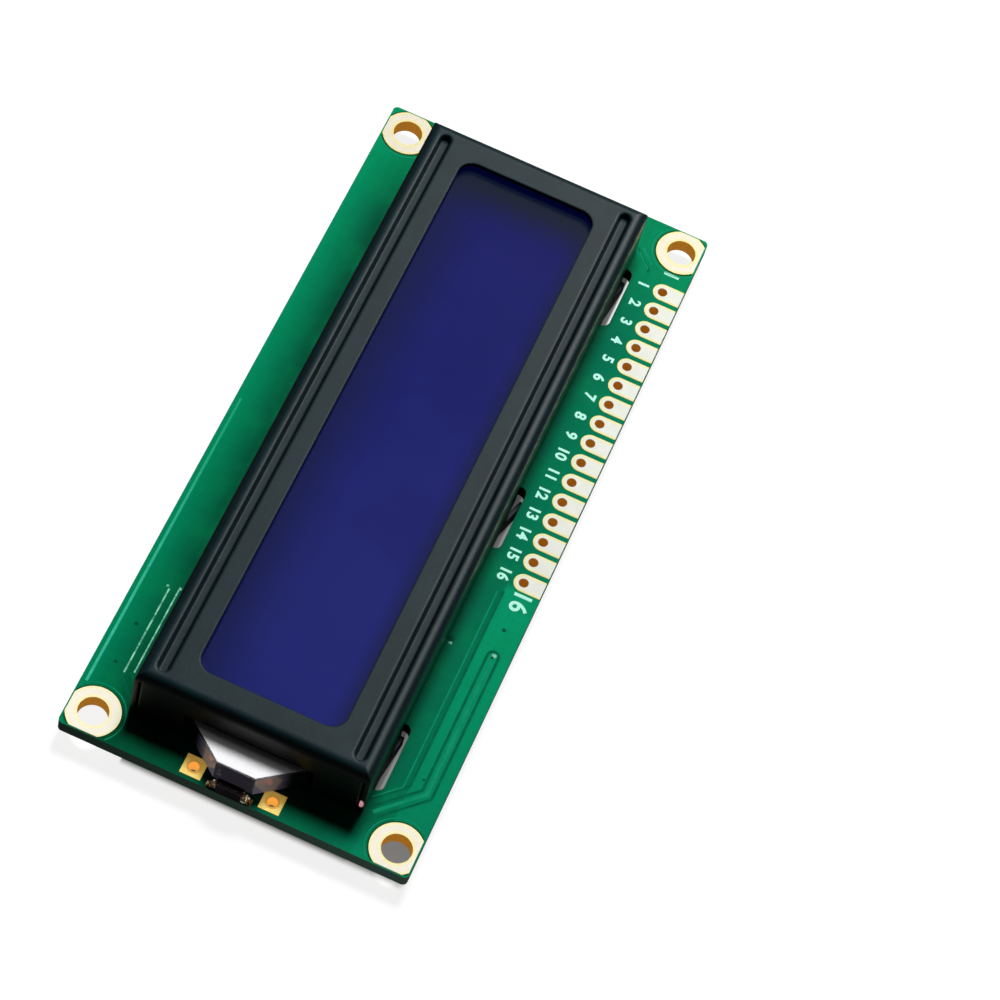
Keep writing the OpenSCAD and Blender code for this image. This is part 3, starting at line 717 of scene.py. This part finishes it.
LABEL_H = 1.15 * MM
LABEL_GAP = 0.5 * MM
LABEL_BOLD = 0.055 * MM
CAPITAL_SHARE = 0.72
label_y = PADS[0][0].y - LABEL_GAP - LABEL_H / 2
for i, x in enumerate(PAD_XS):
    numeral(f"pin_number_{i + 1}", str(i + 1), x, label_y, LABEL_H, LABEL_BOLD)

END_LABEL_GAP = 1.4 * MM
END_LABEL_BOLD = 0.05 * MM
START_LABEL_H = 1.6 * MM
END_LABEL_H = 1.85 * MM
BACK_LABEL_H = 1.5 * MM
numeral("row_start_number", "1", PADS[0][0].x - END_LABEL_GAP, PAD_HOLE_Y + 0.1 * MM,
        START_LABEL_H, END_LABEL_BOLD)
numeral("row_end_number", "16", PADS[-1][1].x + END_LABEL_GAP - 0.1 * MM, PAD_HOLE_Y + 0.55 * MM,
        END_LABEL_H, END_LABEL_BOLD)


def turned_run(y, start_x, turn_x, drop):
    """A run along the board that turns 45 degrees inwards, towards the bezel's corner."""
    inwards = -1 if y > 0 else 1
    return [(start_x, y), (turn_x, y), (turn_x + drop, y + inwards * drop)]


def half_turn(x, y, radius):
    """The rounded end of a cleared channel, from its lower side to its upper side."""
    angles = [math.radians(270 - 20 * k) for k in range(10)]
    return [(x + radius * math.cos(a), y + radius * math.sin(a)) for a in angles]


def runs_piece(name, runs, material, height, facing=1):
    """One piece of raised runs on a face. Each run is a width and its points in mm."""
    base = FRONT_Z if facing > 0 else BACK_Z
    bm = bmesh.new()
    for width, points in runs:
        add_track(bm, [(x * MM, y * MM) for x, y in points], width * MM, base, height, facing)
    piece(name, mesh_from(bm, name), material)


VIA_X = 14.9
VIA_Y = 15.88
CHANNEL_R = 0.56
TURN_X = 31.2
POUR_Y = 14.1

runs_piece("front_tracks", [
    (0.42, turned_run(VIA_Y, VIA_X + 0.45, TURN_X, 3.9)),
    (0.16, turned_run(POUR_Y - 0.55, PAD_XS[-1] / MM + 2.0, TURN_X + 0.3, 2.2)),
    (0.2, [(-36.2, 11.7), (-34.6, 13.3)]),
    (0.2, [(-35.5, 11.6), (-34.0, 13.1)]),
], COPPER, TRACK_T)

channel = half_turn(VIA_X, VIA_Y, CHANNEL_R)
lower_side = turned_run(VIA_Y - CHANNEL_R, VIA_X, TURN_X - 0.25, 3.6)
upper_side = turned_run(VIA_Y + CHANNEL_R, VIA_X, TURN_X + 0.25, 3.9)
runs_piece("mask_gaps", [
    (0.28, lower_side[::-1] + channel[1:-1] + upper_side),
    (0.26, turned_run(POUR_Y, PAD_XS[-1] / MM + 1.7, TURN_X - 0.1, 3.0)),
    (0.22, [(-36.0, 11.2), (-34.0, 13.2), (-33.6, 13.2)]),
    (0.2, turned_run(-14.95, 32.6, 32.7, 2.3)),
    (0.2, turned_run(-14.1, 32.2, 32.3, 1.7)),
], MASK_GAP, 0.3 * TRACK_T)

# Painted highlights: near-white glint lines along two tracks, and a pale line along the board's
# low edge.
runs_piece("track_edge_glints", [
    (0.15, [(21.9, -13.85), (32.1, -13.85)]),
    (0.17, [(22.5, -14.73), (32.5, -14.73)]),
    (0.3, [(0.0, -17.48), (34.9, -17.48)]),
], TRACK_EDGE_GLINT, TRACK_T)


def add_dome(bm, x, y, radius, height, facing, steps=24):
    """A low round bump on a face. Sizes in mm."""
    base = FRONT_Z if facing > 0 else BACK_Z
    rings = [(math.cos(a), math.sin(a)) for a in (0.0, 0.45, 0.9, 1.3)]
    loops = [[bm.verts.new(((x + radius * c * math.cos(2 * math.pi * k / steps)) * MM,
                            (y + radius * c * math.sin(2 * math.pi * k / steps)) * MM,
                            base + facing * height * h * MM)) for k in range(steps)]
             for c, h in rings]
    for a, b in zip(loops, loops[1:]):
        for k in range(steps):
            bm.faces.new((a[k], a[(k + 1) % steps], b[(k + 1) % steps], b[k]))
    bm.faces.new(loops[-1])


def domes_piece(name, spots, material, height=0.05, facing=1, steps=24):
    """One piece of round bumps. Each spot is x, y and a radius in mm."""
    bm = bmesh.new()
    for x, y, radius in spots:
        add_dome(bm, x, y, radius, height, facing, steps)
    mesh = mesh_from(bm, name)
    for polygon in mesh.polygons:
        polygon.use_smooth = True
    piece(name, mesh, material)


domes_piece("tented_vias", [
    (11.75, 15.75, 0.2), (27.3, -15.9, 0.2), (31.8, -15.9, 0.17), (14.95, 11.5, 0.34),
    (VIA_X + 0.12, VIA_Y, 0.14), (29.9, 15.0, 0.12),
], VIA_DARK)
# Bare via rims, partly painted glints; the dot at 15.42, 11.62 is a painted glint.
domes_piece("open_vias", [
    (VIA_X - 0.12, VIA_Y + 0.08, 0.25), (15.42, 11.62, 0.18), (22.05, -13.75, 0.14),
    (22.25, -14.98, 0.15),
], VIA_RIM_AND_GLINT, height=0.03)


def arc_runs(centre, radius, margin):
    """The arcs of a circle that lie on the board, clear of its edges. All in metres."""
    steps = 96
    start = math.atan2(centre[1], centre[0])
    runs, run = [], []
    for k in range(steps + 1):
        a = start + 2 * math.pi * k / steps
        x, y = centre[0] + radius * math.cos(a), centre[1] + radius * math.sin(a)
        on_board = (BOARD_LO.x + margin < x < BOARD_HI.x - margin
                    and BOARD_LO.y + margin < y < BOARD_HI.y - margin)
        if on_board:
            run.append((x, y))
        if run and (not on_board or k == steps):
            runs.append(run)
            run = []
    return [r for r in runs if len(r) > 2]


def ring_outlines(name, beyond, width, material, height):
    """Lines round the four mounting rings, at a distance beyond each ring's edge."""
    bm = bmesh.new()
    for sx in (-1, 1):
        for sy in (-1, 1):
            for run in arc_runs((sx * HOLE_X, sy * HOLE_Y), RING_R + beyond, width):
                add_track(bm, run, width, FRONT_Z, height, 1)
    piece(name, mesh_from(bm, name), material)


ring_outlines("ring_gaps", 0.09 * MM, 0.16 * MM, RING_GAP, 0.2 * TRACK_T)
ring_outlines("ring_outlines", 0.42 * MM, 0.14 * MM, COPPER, 0.6 * TRACK_T)


# ---------------------------------------------------------------- the board's back

CAP_GAP = 0.9
VIA_ROW = 0.55
FAN_PITCH = 1.27
FAN_EACH_WAY = 9
FAN_NARROWING = 0.82
KNEE_DROP = 1.6
BACK_TRACK_W = 0.2
PIN_TRACK_W = 0.22
FILLET_W = 0.34


def cap_circle(node):
    """The outline of an epoxy cap: its middle and its radius, in mm."""
    lo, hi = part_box(node)
    return (lo.x + hi.x) / 2 / MM, (lo.y + hi.y) / 2 / MM, (hi.x - lo.x) / 2 / MM


def towards_cap(x, y, cap):
    """A straight run from a point to the rim of a cap."""
    cx, cy, radius = cap
    way = Vector((x - cx, y - cy))
    end = Vector((cx, cy)) + way.normalized() * (radius + 0.1)
    return [(x, y), (end.x, end.y)]


def clear_of(x, low, high, gap=0.45):
    return x < low - gap or x > high + gap


controller, driver = cap_circle("controller_cap"), cap_circle("driver_cap")
contact_y = {1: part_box("contact_strip_1")[0].y / MM, -1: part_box("contact_strip_2")[1].y / MM}
chips = [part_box(f"chip_resistor_{i}") for i in range(1, 9)]
row_chips = [(lo.x / MM, hi.x / MM) for lo, hi in chips if lo.y > 0.006]

fans, fan_vias = [], []
for cap in (controller, driver):
    for side in (1, -1):
        via_y = contact_y[side] + side * VIA_ROW
        for k in range(-FAN_EACH_WAY, FAN_EACH_WAY + 1):
            x = cap[0] + k * FAN_PITCH
            knee = (cap[0] + k * FAN_PITCH * FAN_NARROWING, via_y - side * KNEE_DROP)
            if side > 0 and not all(clear_of(v, *chip) for v in (x, knee[0])
                                    for chip in row_chips):
                continue
            fans.append((BACK_TRACK_W, [(x, via_y)] + towards_cap(*knee, cap)))
            fan_vias.append((x, via_y, 0.24))

pins = []
tab_points = [p.x / MM for p in bezel_points if p.z < BACK_Z - 1.5 * MM]
tab_half = max(x for x in tab_points if x < BEZEL_END_X / 3)
tab_pitch = max(tab_points) - tab_half
for x in (v / MM for v in PAD_XS):
    if not all(abs(x - k * tab_pitch) > tab_half + 0.9 for k in (-1, 0, 1)):
        continue
    top = PAD_HOLE_Y / MM - PAD_R / MM
    pins.append((PIN_TRACK_W, [(x, top), (x, contact_y[1] + 1.9)]))

bus = []
gaps = [((a[1].y + b[0].y) / 2 / MM) for a, b in zip(chips[:4], chips[1:5])]
for y in gaps:
    for shift in (-0.25, 0.25):
        bus.append((BACK_TRACK_W, [(controller[0] + controller[2] - 0.6, y + shift),
                                   (driver[0] - driver[2] + 0.9, y + shift)]))

runs_piece("back_tracks", fans + pins + bus, COPPER, TRACK_T, facing=-1)
domes_piece("back_vias", fan_vias, VIA_RIM_AND_GLINT, height=0.03, facing=-1, steps=12)

fillets = []
for lo, hi in chips:
    for x in (lo.x / MM - FILLET_W / 2, hi.x / MM + FILLET_W / 2):
        fillets.append((FILLET_W, [(x, lo.y / MM + 0.05), (x, hi.y / MM - 0.05)]))
lo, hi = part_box("chip_capacitor")
for y in (lo.y / MM - FILLET_W / 2, hi.y / MM + FILLET_W / 2):
    fillets.append((FILLET_W, [(lo.x / MM + 0.05, y), (hi.x / MM - 0.05, y)]))
runs_piece("chip_solder", fillets, TIN, 0.2 * MM, facing=-1)


def circle_run(cx, cy, radius, steps=72):
    angles = [2 * math.pi * k / steps for k in range(steps + 1)]
    return [(cx + radius * math.cos(a), cy + radius * math.sin(a)) for a in angles]


runs_piece("cap_outlines", [(0.22, circle_run(cx, cy, r + CAP_GAP))
                            for cx, cy, r in (controller, driver)], INK, INK_T * 2.5, facing=-1)
numeral("back_start_number", "1", PADS[0][0].x - END_LABEL_GAP, PAD_HOLE_Y, BACK_LABEL_H,
        END_LABEL_BOLD, back=True)
numeral("back_end_number", "16", PADS[-1][1].x + END_LABEL_GAP, PAD_HOLE_Y, BACK_LABEL_H,
        END_LABEL_BOLD, back=True)


# ---------------------------------------------------------------- stage and light

def floor_material():
    """Pale floor that reads as white. It is painted greyer under the board's middle and under its
    header side towards the LED end, a painted shadow.
    """
    s = Shader("floor", Roughness=0.9, Specular_IOR_Level=0.0)
    x, y, _ = s.axes()
    # Painted shadow: the floor's glow is dimmed under the board.
    covered = s.math("MULTIPLY", s.span(x, -18.0, -4.0), s.span(y, 4.0, 9.0))
    inside = s.math("MULTIPLY", s.span(s.off(x, 0.0), BOARD_HI.x / MM, BOARD_HI.x / MM - 1.0),
                    s.span(s.off(y, 0.0), BOARD_HI.y / MM, BOARD_HI.y / MM - 1.0))
    middle = s.math("MULTIPLY", s.span(s.off(y, 0.0), 11.72, 11.42), inside)
    painted_floor_shadow = s.math("MAXIMUM", s.math("MULTIPLY", s.math("MULTIPLY", covered, inside), 0.8),
                   s.math("MULTIPLY", middle, 0.92))
    path = s.node("ShaderNodeLightPath")
    mirrored = s.math("MAXIMUM", path.outputs["Is Glossy Ray"],
                      path.outputs["Is Transmission Ray"])
    pale = s.mix(s.noise(0.02, 2), (0.20,) * 3, (0.22,) * 3)
    s.color(s.mix(s.math("MULTIPLY", mirrored, 0.7), pale, (0.0,) * 3))
    seen = s.math("MAXIMUM", path.outputs["Is Camera Ray"], s.math("MULTIPLY", mirrored, 0.04))
    glow(s, s.math("MULTIPLY", seen, s.ramp(painted_floor_shadow, 0.0, 1.0, 1.0, 0.0)), (1, 1, 1), FLOOR_GLOW)
    return s.material


def make_floor():
    bm = bmesh.new()
    half = 1.5
    bmesh.ops.create_grid(bm, x_segments=8, y_segments=8, size=half)
    mesh = mesh_from(bm, "floor")
    mesh.transform(Matrix.Translation((0, 0, FLOOR_Z)))
    mesh.materials.append(floor_material())
    obj = bpy.data.objects.new("floor", mesh)
    bpy.context.scene.collection.objects.link(obj)


def make_world():
    """White behind the object. Gloss sees a room that is brightest on the header's side
    and away from the LED, and dark past the LED end. The open air adds a little fill."""
    world = bpy.data.worlds.new("studio")
    bpy.context.scene.world = world
    world.use_nodes = True
    tree = world.node_tree

    def node(kind, *inputs, operation=None):
        n = tree.nodes.new(kind)
        if operation:
            n.operation = operation
        for i, value in enumerate(inputs):
            if isinstance(value, bpy.types.NodeSocket):
                tree.links.new(value, n.inputs[i])
            elif value is not None:
                n.inputs[i].default_value = value
        return n.outputs[0]

    def ramp(axis, a, b, low, high):
        return node("ShaderNodeMapRange", axes.outputs["XYZ".index(axis)], a, b, low, high)

    path = tree.nodes.new("ShaderNodeLightPath")
    axes = tree.nodes.new("ShaderNodeSeparateXYZ")
    tree.links.new(tree.nodes.new("ShaderNodeTexCoord").outputs["Generated"], axes.inputs[0])
    room = ramp("Z", 0.45, 0.8, 0.05, 1.0)
    sideways = node("ShaderNodeMath", ramp("Y", -0.7, -0.4, 0.1, 0.5),
                    ramp("Y", -0.2, 0.35, 0.1, 2.8), operation="MAXIMUM")
    for part in (ramp("X", -0.72, -0.44, 3.1, 0.47), ramp("X", -0.1, 0.2, 1.0, 0.0),
                 sideways, ramp("Y", 0.5, 0.8, 1.0, 0.1)):
        room = node("ShaderNodeMath", room, part, operation="MULTIPLY")
    mirrored = node("ShaderNodeMath", path.outputs["Is Glossy Ray"],
                    path.outputs["Is Transmission Ray"], operation="MAXIMUM")
    level = node("ShaderNodeMix", mirrored, None, WORLD_FILL, room)
    level = node("ShaderNodeMix", path.outputs["Is Camera Ray"], None, level, 1.0)
    tree.links.new(level, tree.nodes["Background"].inputs["Strength"])
    tree.nodes["Background"].inputs["Color"].default_value = (1, 1, 1, 1)


def area_light(name, direction, distance, size, power):
    data = bpy.data.lights.new(name, "AREA")
    data.shape = "DISK"
    data.size = size
    data.energy = power
    obj = bpy.data.objects.new(name, data)
    bpy.context.scene.collection.objects.link(obj)
    direction = Vector(direction).normalized()
    obj.location = direction * distance
    obj.rotation_mode = "QUATERNION"
    obj.rotation_quaternion = (-direction).to_track_quat("-Z", "Y")
    return obj


WORLD_FILL = 0.012
KEY_DIRECTION = (-0.366, -0.036, 0.931)
KEY_DISTANCE = 0.331
KEY_SIZE = 0.1
KEY_POWER = 1.27
make_floor()
make_world()
key = area_light("key", KEY_DIRECTION, KEY_DISTANCE, KEY_SIZE, KEY_POWER)
key.visible_glossy = False


# ---------------------------------------------------------------- camera

def make_camera():
    """The photograph's viewpoint: from the LED end, steeply down, rolled to one side."""
    azimuth = math.radians(6.741)
    elevation = math.radians(58.677)
    roll = math.radians(18.202)
    distance = 350.752 * MM
    target = Vector((-1.433, 9.877, 0)) * MM
    back = Vector((math.cos(azimuth) * math.cos(elevation),
                   math.sin(azimuth) * math.cos(elevation), math.sin(elevation)))
    level_right = Vector((0, 0, 1)).cross(back).normalized()
    level_up = back.cross(level_right)
    up = level_up * math.cos(roll) - level_right * math.sin(roll)
    right = up.cross(back)
    data = bpy.data.cameras.new("camera")
    data.sensor_width = 36.0
    data.lens = 128.68
    data.clip_start, data.clip_end = 0.01, 10.0
    cam = bpy.data.objects.new("camera", data)
    bpy.context.scene.collection.objects.link(cam)
    cam.matrix_world = Matrix.Translation(target + back * distance) @ Matrix(
        (right, up, back)).transposed().to_4x4()
    bpy.context.scene.camera = cam


make_camera()
bpy.context.scene.view_settings.view_transform = "Standard"
